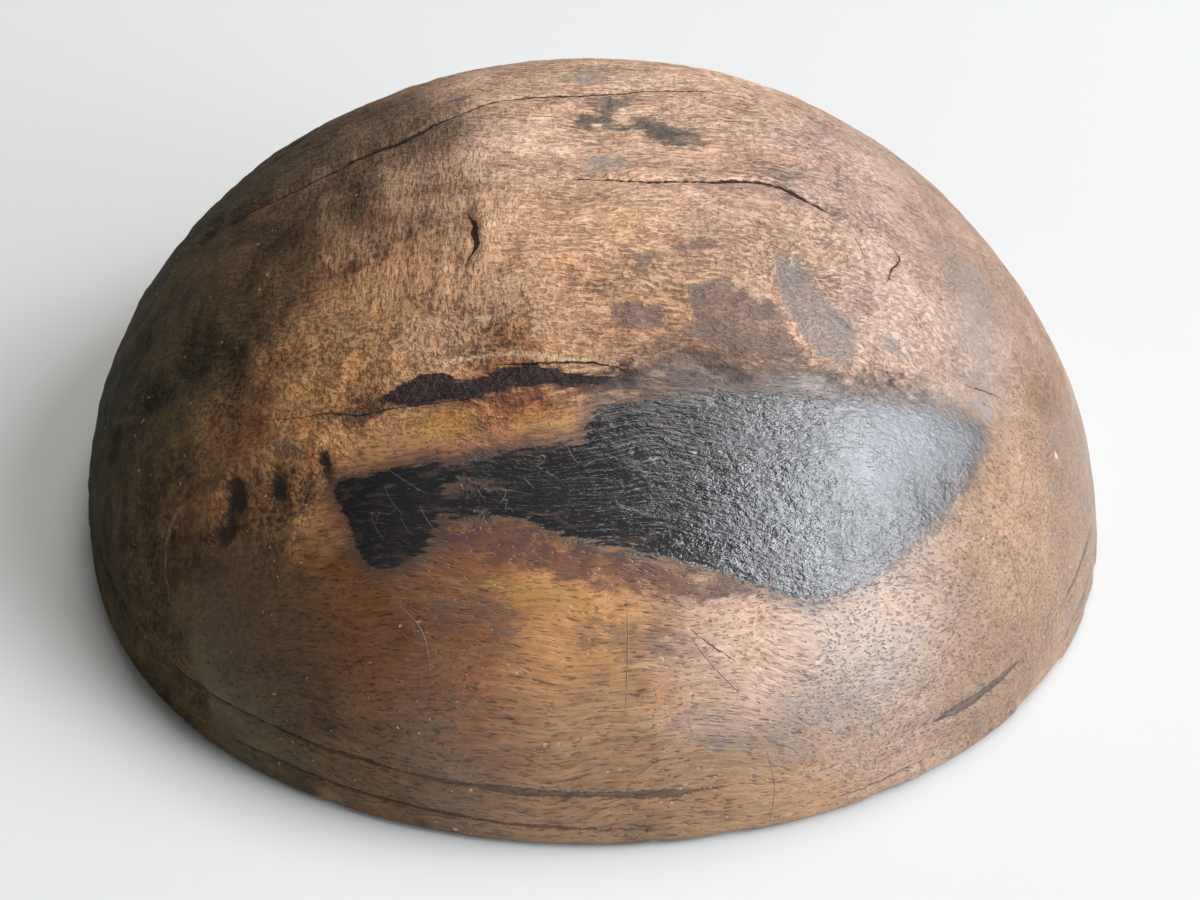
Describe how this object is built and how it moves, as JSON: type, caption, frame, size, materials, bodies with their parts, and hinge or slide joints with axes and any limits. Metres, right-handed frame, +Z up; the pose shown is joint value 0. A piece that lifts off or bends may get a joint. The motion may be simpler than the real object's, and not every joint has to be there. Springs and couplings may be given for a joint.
{
  "type": "wooden bowl",
  "caption": "Round hollow wooden bowl in one piece, turned upside down: worn domed outside, ring grooves by a flat rim, thick wall and a small flat base.",
  "frame": {"origin": "centre of the rim plane, on the surface that the upturned bowl stands on", "axes": "+Z up from the rim to the bowl's base, +X along the wood's fibres"},
  "size_m": [0.1986, 0.1991, 0.0755],
  "materials": {
    "worn_wood": "weathered, oiled and darkened in patches"
  },
  "bodies": {
    "root": {"bowl_body": "worn_wood"}
  },
  "joints": []
}
